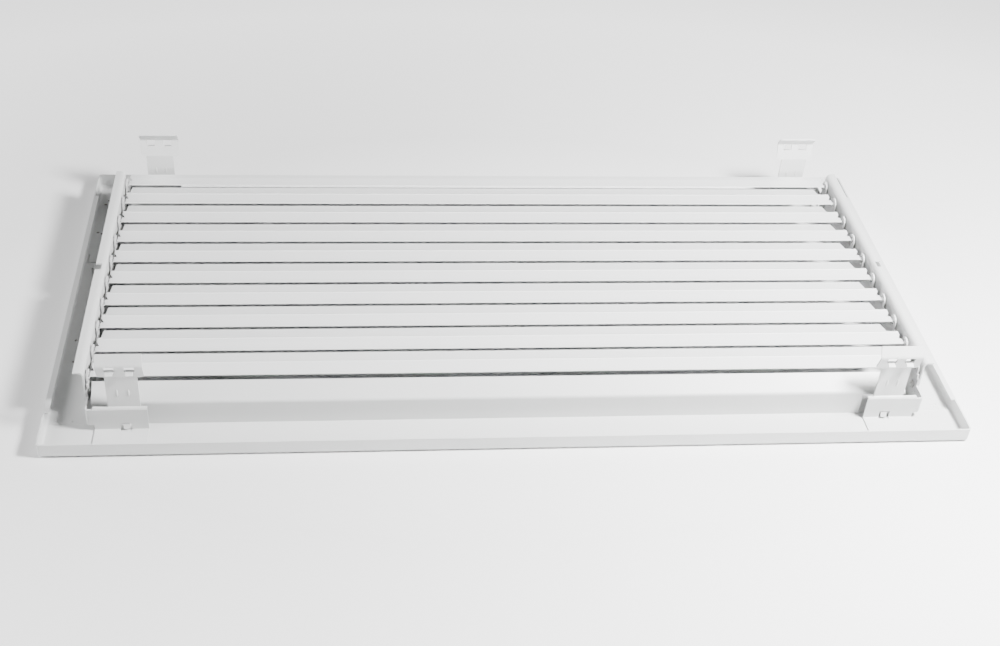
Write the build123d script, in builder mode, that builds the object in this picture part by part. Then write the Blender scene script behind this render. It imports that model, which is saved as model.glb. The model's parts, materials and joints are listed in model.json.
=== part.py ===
"""Steel ventilation grille, lying face down.

Four folded members make the frame. Ten blades overlap like shingles inside it. Each blade
turns on two flat lugs, which run in round holes in a scalloped strip at either end of the
frame. Four tall brackets at the corners fix the grille in its opening.

The origin is on the surface the grille lies on, under the middle of the frame. X runs along
the blades, Y across them, and Z points to the back of the grille. Sizes are in millimetres.
"""
from build123d import *
import math
import os

# Frame: four folded members, butted at the corners
frame_length = 600
frame_width = 313
frame_sheet = 1.0
lip_height = 10.5
lip_fold_radius = 2.5
corner_radius = 2.5
lip_hem = 2.5
long_flange = 30.5
side_flange = 25.5

# Neck wall of the front and back members
neck_height = 18
neck_fold_radius = 1.5
neck_return = 2.5
neck_left_gap = 5
neck_right_gap = 41.5
closing_right_gap = 12.5
closing_reach = 11.2
closing_rise = 8.0

# Side members rise past the neck and end in a ledge
ledge_height = 36.8
ledge_reach = 5.5
ledge_fold_radius = 2.5
ledge_end_gap = 7
notch_length = 7
notch_depth = 4
notch_row = -4.5

# Slot and curved slit in the left flange
slot_width = 1.2
slot_from_lip = 3
slot_length = 7
slot_row = 51
slot_stub = 10
slit_from_lip = 8
slit_row = 44
slit_length = 13
slit_drift = 3.5
slit_bow = 0.7

# Blades
blade_count = 10
pivot_from_neck = 13.5
blade_sheet = 0.8
pivot_height = 29.0
ridge_reach = 13.5
ridge_lift = 0.5
tip_short = 1.4
tip_fall = 3.8
blade_fold_radius = 1.2
narrow_leaf_left_gap = 2
narrow_leaf_right_gap = 8
end_cut_depth = 2
end_cut_near = 3.6
end_cut_far = 8
lug_width = 4.9
lug_clearance = 0.05
lug_end_gap = 0.3

# Scalloped strips that hold the lugs
strip_sheet = 1.0
strip_joggle = 1.0
strip_joggle_height = 22
lobe_radius = 4.5
lobe_sides = 16
valley_drop = 3.5
strip_depth = 9.5
blade_end_gap = 1.0
tongue_radius = 6
tongue_row_shift = 0.5
tongue_drop = 14.9

# Hollow rivets through the tongues
rivet_hole = 2.4
rivet_body = 3.4
rivet_clearance = 0.05
rivet_head = 5.6
rivet_head_thickness = 0.7

# Corner brackets
bracket_sheet = 1.0
strap_from_neck = 5.4
riser_step = 1.6
riser_height = 19
riser_length = 38.5
riser_end_gap = 1.5
riser_fold_radius = 1.5
wing_reach = 13
wing_bend_radius = 2.5
foot_side_gap = 5
foot_lip_gap = 1.5
strap_width = 20
strap_from_web = 26
head_width = 28.5
head_bottom = 43.4
head_flare_out = 4.5
head_flare_rise = 11.5
hook_back = 4.5
hook_rise = 6.0
head_corner_radius = 2.0
head_hole_width = 6.3
head_hole_height = 4.9
head_hole_spacing = 12.2
head_hole_up = 9.3
tab_width = 4.6
tab_length = 3.5
window_width = 7
window_bottom = 1.5
window_height = 5.5
relief_height = 5.5

# Places that several pieces share
half_length = frame_length / 2
half_width = frame_width / 2
neck_face = half_width - long_flange
web_face = half_length - side_flange
web_inside = web_face - frame_sheet
web_half = neck_face - ledge_end_gap
strip_back = web_inside - strip_joggle
strip_face = strip_back - strip_sheet
blade_half = strip_face - blade_end_gap
end_row = neck_face - pivot_from_neck
blade_pitch = 2 * end_row / (blade_count - 1)
tip_reach = blade_pitch - tip_short
near_edge = lug_width / 2
hole_radius = math.hypot(near_edge, blade_sheet / 2) + lug_clearance
lug_tip = web_inside - lug_end_gap
pivot_rows = [end_row - blade_pitch * i for i in range(blade_count)]
tongue_row = end_row + tongue_row_shift
rivet_height = pivot_height - tongue_drop
strap_face = neck_face + strap_from_neck
riser_face = strap_face + riser_step
strap_middle = web_face - strap_from_web
riser_far = web_inside - riser_end_gap + bracket_sheet
riser_near = riser_far - riser_length


def folded(points, radius, thickness):
    """Section of a folded sheet: a line along one face, rounded at its folds, given thickness."""
    with BuildSketch() as section:
        with BuildLine():
            line = FilletPolyline(*points, radius=radius)
            offset(line, amount=thickness, side=Side.LEFT)
        make_face()
    return section.sketch


def save(part, name):
    """Label a finished piece and write it to its own file."""
    part.label = name
    export_step(part, f"parts/{name}.step")


os.makedirs("parts", exist_ok=True)

# The four flanges with their raised lips, before they are parted at the corners
with BuildPart() as tray:
    with BuildSketch():
        RectangleRounded(frame_length, frame_width, corner_radius)
    extrude(amount=lip_height)
    fillet(tray.faces().sort_by(Axis.Z)[0].edges(), radius=lip_fold_radius)
    offset(amount=-frame_sheet, openings=tray.faces().sort_by(Axis.Z)[-1])
    with BuildSketch():
        Rectangle(2 * web_inside, 2 * (neck_face - frame_sheet))
    extrude(amount=frame_sheet, mode=Mode.SUBTRACT)

# Front member: long flange, low neck wall and the panel that closes up to the last blade
front_line = [
    (-neck_face, frame_sheet / 2),
    (-neck_face, neck_height),
    (-neck_face + closing_reach, neck_height + closing_rise),
]
with BuildPart() as front_member:
    add(split(tray.part, bisect_by=Plane(origin=(0, -neck_face, 0), z_dir=(0, -1, 0))))
    with BuildSketch(Plane.YZ.offset(neck_left_gap - web_face)):
        add(folded(front_line, neck_fold_radius, -frame_sheet))
    extrude(amount=2 * web_face - neck_left_gap - closing_right_gap)
    with BuildSketch(Plane.XY.offset(frame_sheet)):
        with Locations((web_face - closing_right_gap, -neck_face)):
            Rectangle(2 * (neck_right_gap - closing_right_gap), 4 * frame_sheet)
    extrude(amount=neck_height - 2 * frame_sheet, mode=Mode.SUBTRACT)
save(front_member.part, "frame_member_front")

# Back member: the same flange and neck wall, with only a narrow return on top
back_line = [
    (-neck_face, frame_sheet / 2),
    (-neck_face, neck_height),
    (-neck_face + neck_return, neck_height),
]
with BuildPart() as back_blank:
    add(split(tray.part, bisect_by=Plane(origin=(0, -neck_face, 0), z_dir=(0, -1, 0))))
    with BuildSketch(Plane.YZ.offset(neck_left_gap - web_face)):
        add(folded(back_line, neck_fold_radius, -frame_sheet))
    extrude(amount=2 * web_face - neck_left_gap - neck_right_gap)
with BuildPart() as back_member:
    add(back_blank.part.rotate(Axis.Z, 180))
save(back_member.part, "frame_member_back")

# Right side member: flange, tall web and the ledge on top, notched at mid-length
side_line = [
    (web_face, frame_sheet / 2),
    (web_face, ledge_height - frame_sheet),
    (web_face + ledge_reach, ledge_height - frame_sheet),
]
with BuildPart() as right_member:
    with BuildSketch(Plane.XY.offset(-1)):
        with Locations(((web_inside + half_length) / 2 + 1, 0)):
            Rectangle(half_length - web_inside + 2, 2 * neck_face)
    extrude(amount=lip_height + 2)
    add(tray.part, mode=Mode.INTERSECT)
    with BuildSketch(Plane.XZ):
        add(folded(side_line, ledge_fold_radius, frame_sheet))
    extrude(amount=web_half, both=True)
    with BuildSketch(Plane.XZ):
        with Locations((half_length - frame_sheet, lip_height)):
            Rectangle(lip_hem, frame_sheet, align=(Align.MAX, Align.MAX))
    extrude(amount=neck_face, both=True)
    with BuildSketch(Plane.XY.offset(ledge_height - 2 * frame_sheet)):
        with Locations((web_face + ledge_reach, notch_row)):
            Rectangle(2 * notch_depth, notch_length)
    extrude(amount=3 * frame_sheet, mode=Mode.SUBTRACT)
    with BuildSketch(Plane.YZ.offset(web_inside - 1)):
        with Locations((tongue_row, rivet_height), (-tongue_row, rivet_height)):
            Circle(rivet_body / 2 + rivet_clearance)
    extrude(amount=3 * frame_sheet, mode=Mode.SUBTRACT)
save(right_member.part, "frame_member_right")

# Left side member: the mirror image, with an extra slot and slit in its flange
slot_near = slot_from_lip - half_length
slit_side = slit_from_lip - half_length
with BuildPart() as left_member:
    add(right_member.part.mirror(Plane.YZ))
    with BuildSketch():
        with Locations((slot_near + slot_length / 2, slot_row)):
            SlotOverall(slot_length, slot_width)
        with Locations((slot_near + slot_width / 2, slot_row + slot_stub / 2)):
            SlotOverall(slot_stub, slot_width, rotation=90)
        with BuildLine() as slit_line:
            ThreePointArc(
                (slit_side, slit_row),
                (slit_side + slit_drift / 2 - slit_bow, slit_row - slit_length / 2),
                (slit_side + slit_drift, slit_row - slit_length),
            )
        SlotArc(slit_line.edges()[0], slot_width)
    extrude(amount=2 * frame_sheet, mode=Mode.SUBTRACT)
save(left_member.part, "frame_member_left")

# Right strip: its outline cut from a sheet that is joggled against the web
strip_line = [
    (web_inside, 0),
    (web_inside, strip_joggle_height),
    (strip_back, strip_joggle_height + 2 * strip_joggle),
    (strip_back, pivot_height + 2 * lobe_radius),
    (strip_face, pivot_height + 2 * lobe_radius),
    (strip_face, strip_joggle_height + 2 * strip_joggle),
    (strip_back, strip_joggle_height),
    (strip_back, 0),
]
with BuildPart() as right_strip:
    with BuildSketch(Plane.YZ.offset(strip_face - 1)):
        with Locations((0, pivot_height - valley_drop)):
            Rectangle(2 * end_row, strip_depth, align=(Align.CENTER, Align.MAX))
        with Locations(*[(row, pivot_height) for row in pivot_rows]):
            RegularPolygon(lobe_radius, lobe_sides)
            Rectangle(2 * lobe_radius, 2 * valley_drop, align=(Align.CENTER, Align.MAX))
        for side in (-1, 1):
            with Locations((side * tongue_row, rivet_height)):
                Circle(tongue_radius)
                Rectangle(2 * tongue_radius, tongue_drop - lobe_radius / 2, align=(Align.CENTER, Align.MIN))
    extrude(amount=3 * strip_sheet)
    with BuildSketch(Plane.XZ):
        with BuildLine():
            Polyline(*strip_line, close=True)
        make_face()
    extrude(amount=half_width, both=True, mode=Mode.INTERSECT)
    with BuildSketch(Plane.YZ.offset(strip_face - 1)):
        with Locations(*[(row, pivot_height) for row in pivot_rows]):
            Circle(hole_radius)
        with Locations((tongue_row, rivet_height), (-tongue_row, rivet_height)):
            Circle(rivet_body / 2 + rivet_clearance)
    extrude(amount=3 * strip_sheet, mode=Mode.SUBTRACT)
save(right_strip.part, "pivot_strip_right")

with BuildPart() as left_strip:
    add(right_strip.part.mirror(Plane.YZ))
save(left_strip.part, "pivot_strip_left")

# Hollow rivets: a head inside the frame and a body that ends flush with the outside of the web
rivet_line = [
    (rivet_hole / 2, 0),
    (rivet_head / 2, 0),
    (rivet_head / 2, rivet_head_thickness),
    (rivet_body / 2, rivet_head_thickness),
    (rivet_body / 2, rivet_head_thickness + strip_sheet + frame_sheet),
    (rivet_hole / 2, rivet_head_thickness + strip_sheet + frame_sheet),
]
with BuildPart() as rivet:
    with BuildSketch(Plane.XZ):
        with BuildLine():
            Polyline(*rivet_line, close=True)
        make_face()
    revolve(axis=Axis.Z)
rivet_start = strip_back - rivet_head_thickness
with BuildPart() as rivets:
    for side in (-1, 1):
        for row in (-tongue_row, tongue_row):
            add(rivet.part.moved(Location((side * rivet_start, row, rivet_height), (0, side * 90, 0))))
save(rivets.part, "strip_rivets")


def make_blade(row, folded_down):
    """One blade: a wide leaf with a lug at either end and, beyond the ridge, a narrow leaf bent down."""
    level = pivot_height - blade_sheet / 2 - ridge_lift * near_edge / (near_edge + ridge_reach)
    line = [(row - near_edge, level), (row + ridge_reach, level + ridge_lift)]
    if folded_down:
        line.append((row + tip_reach, level + ridge_lift - tip_fall))
    with BuildPart() as blade:
        with BuildSketch(Plane.YZ):
            if folded_down:
                add(folded(line, blade_fold_radius, -blade_sheet))
            else:
                with BuildLine():
                    edge = Line(line[0], line[1])
                    offset(edge, amount=-blade_sheet, side=Side.LEFT)
                make_face()
        extrude(amount=lug_tip, both=True)
        with BuildSketch(Plane.XY.offset(level - 2 * tip_fall)):
            for side in (-1, 1):
                with Locations((side * lug_tip, row + near_edge)):
                    Rectangle(2 * (lug_tip - blade_half), tip_reach, align=(Align.CENTER, Align.MIN))
                with BuildLine():
                    Polyline(
                        (side * blade_half, row + end_cut_near),
                        (side * (blade_half - end_cut_depth), row + end_cut_near),
                        (side * blade_half, row + end_cut_far),
                        close=True,
                    )
                make_face()
                gap = narrow_leaf_right_gap if side > 0 else narrow_leaf_left_gap
                with Locations((side * blade_half, row + ridge_reach + blade_sheet)):
                    Rectangle(2 * gap, tip_reach, align=(Align.CENTER, Align.MIN))
        extrude(amount=4 * tip_fall, mode=Mode.SUBTRACT)
    return blade.part


for number, pivot_row in enumerate(pivot_rows, start=1):
    save(make_blade(pivot_row, number > 1), f"blade_{number:02d}")

# Front right bracket: foot, riser, strap and head folded from one sheet
riser_inside = riser_face - bracket_sheet
strap_inside = strap_face - bracket_sheet
foot_edge = half_width - frame_sheet - foot_lip_gap
head_top = head_bottom + head_flare_rise
bracket_line = [
    (-foot_edge, frame_sheet),
    (-riser_inside, frame_sheet),
    (-riser_inside, riser_height - bracket_sheet),
    (-strap_inside, riser_height),
    (-strap_inside, head_bottom),
    (-strap_inside - head_flare_out, head_top),
    (-strap_inside - head_flare_out + hook_back, head_top + hook_rise),
]
wing_line = [
    (riser_near, -riser_face),
    (riser_far, -riser_face),
    (riser_far, -riser_face + wing_reach),
]
foot_far = riser_far - foot_side_gap
head_height = head_flare_rise + hook_rise + bracket_sheet
on_foot = (Align.CENTER, Align.MIN)
head_plane = Plane(
    origin=(strap_middle, -strap_face, head_bottom),
    x_dir=(1, 0, 0),
    z_dir=(0, -head_flare_rise, -head_flare_out),
)
hole_places = [(-head_hole_spacing / 2, head_hole_up), (head_hole_spacing / 2, head_hole_up)]
tab_foot = head_hole_up - head_hole_height / 2
with BuildPart() as bracket:
    with BuildSketch(Plane.YZ.offset(riser_near - head_width)):
        add(folded(bracket_line, riser_fold_radius, bracket_sheet))
    extrude(amount=2 * riser_length + head_width)
    with BuildSketch(Plane.XZ):
        with Locations((riser_near, 0)):
            Rectangle(foot_far - riser_near, riser_height, align=Align.MIN)
        with Locations((strap_middle, riser_height - bracket_sheet)):
            Rectangle(strap_width, head_bottom + 3 * bracket_sheet - riser_height, align=on_foot)
        with Locations((strap_middle, head_bottom)):
            RectangleRounded(head_width, head_height, head_corner_radius, align=on_foot)
    extrude(amount=frame_width, both=True, mode=Mode.INTERSECT)
    with BuildSketch(Plane.XY.offset(relief_height)):
        add(folded(wing_line, wing_bend_radius, bracket_sheet))
    extrude(amount=riser_height - bracket_sheet - relief_height)
    with BuildSketch(head_plane):
        with Locations(*hole_places):
            Rectangle(head_hole_width, head_hole_height)
    extrude(amount=2 * bracket_sheet, both=True, mode=Mode.SUBTRACT)
    with BuildSketch(head_plane.offset(-bracket_sheet)):
        with Locations((-head_hole_spacing / 2, tab_foot), (head_hole_spacing / 2, tab_foot)):
            Rectangle(tab_width, bracket_sheet)
    extrude(amount=tab_length + bracket_sheet)
    with BuildSketch(Plane.XZ.offset(riser_inside - bracket_sheet)):
        with Locations((strap_middle, window_bottom)):
            Rectangle(window_width, window_height, align=on_foot)
    extrude(amount=4 * bracket_sheet, mode=Mode.SUBTRACT)

# The other three are the same pressing or its mirror image
save(bracket.part, "bracket_front_right")
save(bracket.part.mirror(Plane.YZ), "bracket_front_left")
save(bracket.part.mirror(Plane.XZ), "bracket_back_right")
save(bracket.part.rotate(Axis.Z, 180), "bracket_back_left")
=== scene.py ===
"""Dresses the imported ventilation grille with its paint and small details, in metres."""
import json
import math

import bmesh
import bpy
from mathutils import Matrix, Vector


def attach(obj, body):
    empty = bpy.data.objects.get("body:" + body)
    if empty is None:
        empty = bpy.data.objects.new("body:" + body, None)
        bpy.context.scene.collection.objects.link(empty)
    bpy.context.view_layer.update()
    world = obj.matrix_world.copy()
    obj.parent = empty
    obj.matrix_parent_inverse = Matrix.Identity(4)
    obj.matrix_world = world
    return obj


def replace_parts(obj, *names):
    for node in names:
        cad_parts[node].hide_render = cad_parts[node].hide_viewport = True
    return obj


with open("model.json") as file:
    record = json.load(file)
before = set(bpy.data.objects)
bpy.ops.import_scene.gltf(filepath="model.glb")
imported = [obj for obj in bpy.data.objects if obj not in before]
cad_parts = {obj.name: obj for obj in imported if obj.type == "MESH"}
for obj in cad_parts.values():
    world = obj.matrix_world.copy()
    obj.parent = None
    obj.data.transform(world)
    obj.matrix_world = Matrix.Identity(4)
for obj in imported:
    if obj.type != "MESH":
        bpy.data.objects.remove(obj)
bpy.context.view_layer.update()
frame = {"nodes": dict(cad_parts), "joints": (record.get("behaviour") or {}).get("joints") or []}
nodes = frame["nodes"]


# The frame is four folded steel members, welded at the corners and powder-coated white as one
# piece. The coat is satin, with a fine orange peel, a slightly uneven tone and a few scuffs from
# handling.
class Field:
    """A value that changes over a surface: an output socket that Python's operators work on."""

    def __init__(self, finish, socket):
        self.finish = finish
        self.socket = socket

    def work(self, operation, first, second):
        return self.finish.node("ShaderNodeMath", {"operation": operation}, {0: first, 1: second})

    def __add__(self, other):
        return self.work("ADD", self, other)

    def __radd__(self, other):
        return self.work("ADD", other, self)

    def __mul__(self, other):
        return self.work("MULTIPLY", self, other)


class Finish:
    """A material. Its methods add nodes to it, and the shader's sockets are set by name."""

    def __init__(self, name, **constants):
        self.material = bpy.data.materials.new(name)
        self.material.use_nodes = True
        self.tree = self.material.node_tree
        self.shader = self.tree.nodes["Principled BSDF"]
        for socket, value in constants.items():
            self.shader.inputs[socket.replace("_", " ")].default_value = value

    def node(self, kind, settings, inputs, output=0):
        made = self.tree.nodes.new(kind)
        for name, value in settings.items():
            setattr(made, name, value)
        for name, value in inputs.items():
            self.feed(made.inputs[name], value)
        return Field(self, made.outputs[output])

    def feed(self, socket, value):
        if isinstance(value, Field):
            self.tree.links.new(value.socket, socket)
        else:
            socket.default_value = value

    def place(self, scale=(1, 1, 1)):
        spot = self.node("ShaderNodeTexCoord", {}, {}, "Object")
        return self.node("ShaderNodeMapping", {}, {"Vector": spot, "Scale": scale})

    def noise(self, where, scale, detail=3, roughness=0.5):
        inputs = {"Vector": where, "Scale": scale, "Detail": detail, "Roughness": roughness}
        return self.node("ShaderNodeTexNoise", {}, inputs, "Fac")

    def limit(self, value, low, high):
        inputs = {"Value": value, "From Min": low, "From Max": high}
        return self.node("ShaderNodeMapRange", {"clamp": True}, inputs)

    def colour(self, mask, first, second):
        made = self.tree.nodes.new("ShaderNodeMix")
        made.data_type = "RGBA"
        self.feed(made.inputs[0], mask)
        self.feed(made.inputs[6], first)
        self.feed(made.inputs[7], second)
        return Field(self, made.outputs[2])

    def relief(self, height, distance):
        return self.node("ShaderNodeBump", {}, {"Height": height, "Distance": distance}, "Normal")

    def cover(self, *names):
        for name in names:
            nodes[name].data.materials.clear()
            nodes[name].data.materials.append(self.material)


frame_paint = Finish("frame_powder_coat", Specular_IOR_Level=0.5)
spot = frame_paint.place()
haze = frame_paint.noise(spot, 9, 4)
peel = frame_paint.noise(spot, 750, 2)
scuff = frame_paint.limit(frame_paint.noise(frame_paint.place((1, 3, 1)), 60, 6, 0.7), 0.62, 0.78)
clean = frame_paint.colour(haze, (0.60, 0.61, 0.61, 1), (0.66, 0.66, 0.655, 1))
frame_paint.feed(
    frame_paint.shader.inputs["Base Color"],
    frame_paint.colour(scuff * 0.35, clean, (0.62, 0.61, 0.59, 1)),
)
frame_paint.feed(frame_paint.shader.inputs["Roughness"], 0.34 + haze * 0.14 + scuff * 0.12)
frame_paint.feed(frame_paint.shader.inputs["Normal"], frame_paint.relief(peel + scuff * 0.4, 0.00004))
frame_paint.cover("frame_member_front", "frame_member_back", "frame_member_left", "frame_member_right")


def soften(width, *names):
    """Give the cut edges of CAD pieces the small rounding that a coat of paint leaves."""
    for name in names:
        edge = nodes[name].modifiers.new("painted_edge", "BEVEL")
        edge.width = width
        edge.segments = 2
        edge.limit_method = "ANGLE"
        edge.angle_limit = math.radians(35)


soften(0.0003, "frame_member_front", "frame_member_back", "frame_member_left", "frame_member_right")


def piece(name, shape, finish, body):
    """Turn a finished bmesh into an object that wears a finish and rides on a body."""
    bmesh.ops.recalc_face_normals(shape, faces=shape.faces)
    data = bpy.data.meshes.new(name)
    shape.to_mesh(data)
    shape.free()
    data.materials.append(finish.material)
    made = bpy.data.objects.new(name, data)
    bpy.context.scene.collection.objects.link(made)
    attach(made, body)
    return made


def lump(shape, place, radii, turn=0.0):
    """Add a rounded lump, such as a weld, to a bmesh."""
    where = Matrix.Translation(place) @ Matrix.Rotation(turn, 4, "Z") @ Matrix.Diagonal((*radii, 1))
    for vert in bmesh.ops.create_icosphere(shape, subdivisions=3, radius=1, matrix=where)["verts"]:
        for face in vert.link_faces:
            face.smooth = True


# The corner joints are butted and tacked: a low seam under the paint runs from the web to the
# lip, and at the two near corners a few small tack welds stand beside it.
flange_top = 0.001
joint_row = 0.126
seam_middle = 0.287
seam_radii = (0.0118, 0.0006, 0.00028)
seams = bmesh.new()
for side_x in (-1, 1):
    for side_y in (-1, 1):
        middle = (side_x * seam_middle, side_y * joint_row, flange_top)
        where = Matrix.Translation(middle) @ Matrix.Diagonal((*seam_radii, 1))
        bmesh.ops.create_icosphere(seams, subdivisions=4, radius=1, matrix=where)
for face in seams.faces:
    face.smooth = True
piece("corner_seams", seams, frame_paint, "frame")

tack_radii = (0.0009, 0.0006, 0.0004)
tack_turn = 0.7
tack_places = [
    (-0.2932, -0.1236), (-0.2916, -0.1243), (-0.2835, -0.1240),
    (0.2905, -0.1195), (0.2912, -0.1237), (0.2885, -0.1216),
]
tacks = bmesh.new()
for x, y in tack_places:
    lump(tacks, (x, y, flange_top), tack_radii, tack_turn)
piece("corner_tacks", tacks, frame_paint, "frame")

# Spot welds beside the left ledge leave low marks on the flange, speckled nearly black.
spot_radius = 0.0011
spot_top_radius = 0.0006
spot_rise = 0.00032
spot_sides = 20
spot_places = [
    (-0.2905, 0.1335), (-0.2925, 0.1280), (-0.2937, 0.0895),
    (-0.2905, 0.0880), (-0.2920, -0.0410), (-0.2905, -0.0640),
]
spots = bmesh.new()
for x, y in spot_places:
    loops = []
    for radius, height in ((spot_radius, flange_top), (spot_top_radius, flange_top + spot_rise)):
        where = Matrix.Translation((x, y, height))
        ring = bmesh.ops.create_circle(
            spots, cap_ends=True, segments=spot_sides, radius=radius, matrix=where
        )["verts"]
        loops += [edge for edge in spots.edges if edge.verts[0] in ring and edge.verts[1] in ring]
    bmesh.ops.bridge_loops(spots, edges=loops)
mark_paint = Finish("weld_mark", Roughness=0.55, Specular_IOR_Level=0.4)
near_black_speckle = mark_paint.noise(mark_paint.place(), 900, 3)
# A fine noise mixes the marks' grey with a nearly black colour.
mark_paint.feed(
    mark_paint.shader.inputs["Base Color"],
    mark_paint.colour(near_black_speckle, (0.06, 0.055, 0.05, 1), (0.42, 0.41, 0.40, 1)),
)
piece("flange_spot_marks", spots, mark_paint, "frame")

# Two scalloped strips of the same sheet hold the blades' lugs. They are coated like the
# frame, a little darker, and the coat is rubbed in small patches.
strip_paint = Finish("strip_powder_coat", Specular_IOR_Level=0.5)
spot = strip_paint.place()
rub = strip_paint.limit(strip_paint.noise(spot, 240, 5, 0.65), 0.56, 0.74)
strip_paint.feed(
    strip_paint.shader.inputs["Base Color"],
    strip_paint.colour(rub * 0.5, (0.58, 0.58, 0.58, 1), (0.42, 0.42, 0.41, 1)),
)
strip_paint.feed(strip_paint.shader.inputs["Roughness"], 0.40 + rub * 0.15)
strip_paint.feed(
    strip_paint.shader.inputs["Normal"],
    strip_paint.relief(strip_paint.noise(spot, 800, 2), 0.00004),
)
strip_paint.cover("pivot_strip_left", "pivot_strip_right")
soften(0.00025, "pivot_strip_left", "pivot_strip_right")

# Ten blades of thin coil-coated sheet. The rolls leave faint streaks along the blade, and a
# slight cast changes slowly from blade to blade. A few specks lie in the coat.
blade_names = [f"blade_{number:02d}" for number in range(1, 11)]
blade_paint = Finish("blade_coil_coat", Specular_IOR_Level=0.5)
spot = blade_paint.place()
streak = blade_paint.noise(blade_paint.place((1.5, 260, 260)), 1, 4)
cast = blade_paint.noise(spot, 7, 3)
speck = blade_paint.limit(blade_paint.noise(spot, 420, 3, 0.6), 0.72, 0.80)
clean = blade_paint.colour(streak * 0.5 + cast * 0.5, (0.71, 0.72, 0.72, 1), (0.77, 0.77, 0.77, 1))
blade_paint.feed(
    blade_paint.shader.inputs["Base Color"],
    blade_paint.colour(speck * 0.4, clean, (0.55, 0.54, 0.52, 1)),
)
blade_paint.feed(blade_paint.shader.inputs["Roughness"], 0.26 + cast * 0.12 + streak * 0.06)
blade_paint.feed(
    blade_paint.shader.inputs["Normal"],
    blade_paint.relief(streak * 0.7 + blade_paint.noise(spot, 700, 2) * 0.3, 0.00005),
)
blade_paint.cover(*blade_names)

# Seen close, each leaf has a notch at either end and lugs that are set down from the leaf into
# their holes, and all but the farthest have a low rolled rib along the ridge. A step says how far
# behind the joint's axis an edge of the sheet lies, how far above it, and how much is cut off at
# its left and right ends.
leaf_half = 0.2705
leaf_sheet = 0.0008
lug_root = leaf_half + 0.0008
lug_end = 0.2732
lug_half = 0.00245
lug_rise = 0.0004
end_cut = 0.00005
fold_width = 0.0002
near_steps = [
    (-0.0019, 0.0013, 0, 0),
    (0.0026, 0.0011, 0, 0),
    (0.0036, 0.0011, 0, 0),
    (0.0036 + end_cut, 0.0011, 0.002, 0.002),
    (0.0080, 0.0011, 0, 0),
]
rib_steps = [
    (0.0100, 0.0011, 0, 0),
    (0.0108, 0.00142, 0, 0),
    (0.0124, 0.00082, 0, 0),
    (0.0124 + end_cut, 0.00082, 0.002, 0.008),
    (0.0254, -0.0027, 0.002, 0.008),
]
plain_steps = [(0.0135, 0.0006, 0, 0)]


def stretch(shape, edge, places):
    """Extrude one edge of an open sheet to two places, without crossing its ends over."""
    made = bmesh.ops.extrude_edge_only(shape, edges=[edge])["geom"]
    ends = [part for part in made if isinstance(part, bmesh.types.BMVert)]
    if (ends[0].co - ends[1].co).dot(Vector(places[0]) - Vector(places[1])) < 0:
        ends.reverse()
    for end, place in zip(ends, places):
        end.co = place
    return shape.edges.get(ends)


def leaf_shape(row, height, steps):
    """One leaf as an open sheet with its lugs, given its thickness and soft long edges."""
    leaf = bmesh.new()
    edges = []
    for reach, rise, left_cut, right_cut in steps:
        ends = (left_cut - leaf_half, leaf_half - right_cut)
        places = [(x, row + reach, height + rise) for x in ends]
        if edges:
            edges.append(stretch(leaf, edges[-1], places))
        else:
            edges.append(leaf.edges.new([leaf.verts.new(place) for place in places]))
    near_corners = [vert for edge in edges[:2] for vert in edge.verts]
    for side in (-1, 1):
        edge = leaf.edges.get([vert for vert in near_corners if vert.co.x * side > 0])
        for x in (lug_root, lug_end):
            places = [(side * x, row + y, height + lug_rise) for y in (-lug_half, lug_half)]
            edge = stretch(leaf, edge, places)
    under = bmesh.ops.extrude_face_region(leaf, geom=leaf.faces[:])["geom"]
    under = [part for part in under if isinstance(part, bmesh.types.BMVert)]
    bmesh.ops.translate(leaf, verts=under, vec=(0, 0, -leaf_sheet))
    bmesh.ops.recalc_face_normals(leaf, faces=leaf.faces)
    outer_edges = [
        edge for edge in leaf.edges if edge.calc_length() > leaf_half and edge.calc_face_angle(0) > 0.8
    ]
    bmesh.ops.bevel(
        leaf,
        geom=outer_edges,
        affect="EDGES",
        offset=fold_width,
        offset_type="OFFSET",
        segments=2,
        profile=0.5,
        material=-1,
    )
    return leaf


axes = {joint["child"]: joint["pos_m"] for joint in frame["joints"]}
for name in blade_names:
    beyond = plain_steps if name == blade_names[0] else rib_steps
    leaf = leaf_shape(axes[name][1], axes[name][2], near_steps + beyond)
    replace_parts(piece(name + "_leaf", leaf, blade_paint, name), name)

# The rivets that hold the strips are bare zinc-plated steel, dulled, with a fine turned grain.
rivet_steel = Finish("plated_steel", Metallic=1.0)
spot = rivet_steel.place()
grain = rivet_steel.noise(rivet_steel.place((1800, 300, 300)), 1, 3)
stain = rivet_steel.noise(spot, 320, 4)
rivet_steel.feed(
    rivet_steel.shader.inputs["Base Color"],
    rivet_steel.colour(stain, (0.34, 0.33, 0.32, 1), (0.60, 0.60, 0.60, 1)),
)
rivet_steel.feed(rivet_steel.shader.inputs["Roughness"], 0.28 + stain * 0.25)
rivet_steel.feed(rivet_steel.shader.inputs["Normal"], rivet_steel.relief(grain, 0.00002))
rivet_steel.cover("strip_rivets")

# Four corner brackets, pressed from one blank each and coated like the frame, with the coat's
# tone set a little darker than the frame's as painted shade. The coat is thin in small patches.
bracket_coat_and_painted_shade = Finish("bracket_powder_coat", Specular_IOR_Level=0.5)
spot = bracket_coat_and_painted_shade.place()
haze = bracket_coat_and_painted_shade.noise(spot, 40, 4)
thin = bracket_coat_and_painted_shade.limit(bracket_coat_and_painted_shade.noise(spot, 300, 5, 0.7), 0.60, 0.76)
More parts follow.
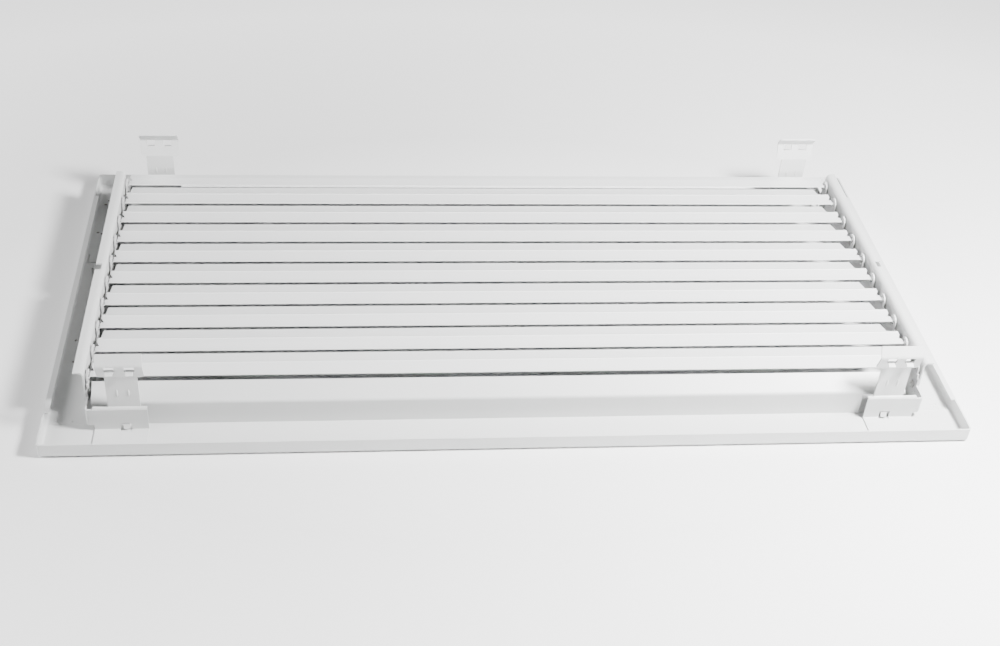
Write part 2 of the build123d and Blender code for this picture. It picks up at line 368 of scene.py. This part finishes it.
# The two base colours sit a little below the frame's: painted shade over the whole bracket.
bracket_coat_and_painted_shade.feed(
    bracket_coat_and_painted_shade.shader.inputs["Base Color"],
    bracket_coat_and_painted_shade.colour(
        thin * 0.4,
        bracket_coat_and_painted_shade.colour(haze, (0.58, 0.59, 0.59, 1), (0.64, 0.64, 0.635, 1)),
        (0.58, 0.57, 0.55, 1),
    ),
)
bracket_coat_and_painted_shade.feed(bracket_coat_and_painted_shade.shader.inputs["Roughness"], 0.36 + haze * 0.14)
bracket_coat_and_painted_shade.feed(
    bracket_coat_and_painted_shade.shader.inputs["Normal"],
    bracket_coat_and_painted_shade.relief(bracket_coat_and_painted_shade.noise(spot, 750, 2) + thin * 0.5, 0.00004),
)
bracket_names = ["bracket_front_left", "bracket_front_right", "bracket_back_left", "bracket_back_right"]
bracket_coat_and_painted_shade.cover(*bracket_names)
soften(0.0003, *bracket_names)

# The window in each riser is lanced, so its tongue still hangs in it, bent a little outwards,
# and each strap carries two plain stamped beads.
tongue_middle = (0.2480, 0.1330, 0.0048)
tongue_size = (0.0040, 0.0007, 0.0040)
tongue_lean = math.radians(24)
tongue_edge = 0.0002
bead_middle = (0.2485, 0.1309, 0.0305)
bead_radii = (0.0011, 0.0009, 0.0037)
bead_gap = 0.0072
tongues = bmesh.new()
beads = bmesh.new()
for side_x in (-1, 1):
    for side_y in (-1, 1):
        x, y, z = tongue_middle
        hang = Matrix.Translation((side_x * x, side_y * y, z))
        lean = Matrix.Rotation(side_y * tongue_lean, 4, "X")
        where = hang @ lean @ Matrix.Diagonal((*tongue_size, 1))
        bmesh.ops.create_cube(tongues, size=1, matrix=where)
        x, y, z = bead_middle
        for shift in (-bead_gap / 2, bead_gap / 2):
            lump(beads, (side_x * x + shift, side_y * y, z), bead_radii)
bmesh.ops.bevel(
    tongues,
    geom=tongues.edges[:],
    affect="EDGES",
    offset=tongue_edge,
    offset_type="OFFSET",
    segments=2,
    profile=0.5,
    material=-1,
)
piece("window_tongues", tongues, bracket_coat_and_painted_shade, "frame")
piece("strap_beads", beads, bracket_coat_and_painted_shade, "frame")

# A plain pale floor, wide enough to reach past the picture on every side. It lies just under the
# grille and glows away from it, so that it stays bright without lighting the gaps from below.
floor_reach = 40.0
floor_level = -0.0004
glow_start = 0.38
glow_full = 0.75
glow_squeeze = 1.6
floor_mesh = bmesh.new()
bmesh.ops.create_grid(floor_mesh, x_segments=2, y_segments=2, size=floor_reach)
bmesh.ops.translate(floor_mesh, verts=floor_mesh.verts, vec=(0, 0, floor_level))
floor_data = bpy.data.meshes.new("floor")
floor_mesh.to_mesh(floor_data)
floor_mesh.free()
floor = bpy.data.objects.new("floor", floor_data)
bpy.context.scene.collection.objects.link(floor)
floor_paint = Finish("pale_floor", Roughness=0.9, Specular_IOR_Level=0.1, Emission_Strength=1.0)
shade = floor_paint.noise(floor_paint.place(), 3, 2)
floor_paint.feed(
    floor_paint.shader.inputs["Base Color"],
    floor_paint.colour(shade, (0.84, 0.84, 0.84, 1), (0.86, 0.86, 0.86, 1)),
)
spot = floor_paint.place((1, glow_squeeze, 1))
away = floor_paint.node("ShaderNodeVectorMath", {"operation": "LENGTH"}, {0: spot}, "Value")
glow = floor_paint.limit(away, glow_start, glow_full)
floor_paint.feed(
    floor_paint.shader.inputs["Emission Color"],
    floor_paint.colour(glow, (0, 0, 0, 1), (1, 1, 1, 1)),
)
floor_data.materials.append(floor_paint.material)

# Studio light: a small strong panel high on the right, a larger weak one on the left and a dim
# room all round that is a little brighter overhead.
room_low = 0.03
room_high = 0.06
world = bpy.data.worlds.new("studio")
world.use_nodes = True
room = world.node_tree
backdrop = room.nodes["Background"]
direction = room.nodes.new("ShaderNodeTexCoord")
height = room.nodes.new("ShaderNodeSeparateXYZ")
fade = room.nodes.new("ShaderNodeMapRange")
fade.inputs["To Min"].default_value = room_low
fade.inputs["To Max"].default_value = room_high
backdrop.inputs["Color"].default_value = (1, 1, 1, 1)
room.links.new(direction.outputs["Generated"], height.inputs["Vector"])
room.links.new(height.outputs["Z"], fade.inputs["Value"])
room.links.new(fade.outputs["Result"], backdrop.inputs["Strength"])
bpy.context.scene.world = world


def lamp(name, place, aim, size, power):
    """A square light panel that faces a point."""
    light = bpy.data.lights.new(name, "AREA")
    light.size = size
    light.energy = power
    made = bpy.data.objects.new(name, light)
    made.location = place
    made.rotation_mode = "QUATERNION"
    made.rotation_quaternion = (Vector(aim) - Vector(place)).to_track_quat("-Z", "Y")
    bpy.context.scene.collection.objects.link(made)


lamp("key_panel", (0.44, -0.275, 0.58), aim=(0.2, -0.05, 0), size=0.16, power=30)
lamp("left_panel", (-0.85, -0.15, 0.45), aim=(-0.25, 0, 0), size=0.5, power=8)

# The camera stands in front of the grille, a little to the left and well above it.
camera_place = Vector((-0.11649, -0.82175, 0.61833))
camera_pitch = math.radians(37.49)
camera_yaw = math.radians(8.29)
camera_roll = math.radians(4.62)
sensor_width = 36
lens_to_sensor = 1.4245
forward = Vector((
    math.sin(camera_yaw) * math.cos(camera_pitch),
    math.cos(camera_yaw) * math.cos(camera_pitch),
    -math.sin(camera_pitch),
))
level = Vector((math.cos(camera_yaw), -math.sin(camera_yaw), 0))
upright = level.cross(forward)
right = level * math.cos(camera_roll) + upright * math.sin(camera_roll)
up = upright * math.cos(camera_roll) - level * math.sin(camera_roll)
lens = bpy.data.cameras.new("camera")
lens.sensor_fit = "HORIZONTAL"
lens.sensor_width = sensor_width
lens.lens = sensor_width * lens_to_sensor
lens.clip_start = 0.01
lens.clip_end = 50
camera = bpy.data.objects.new("camera", lens)
bpy.context.scene.collection.objects.link(camera)
turn = Matrix((right, up, -forward)).transposed().to_4x4()
camera.matrix_world = Matrix.Translation(camera_place) @ turn
bpy.context.scene.camera = camera
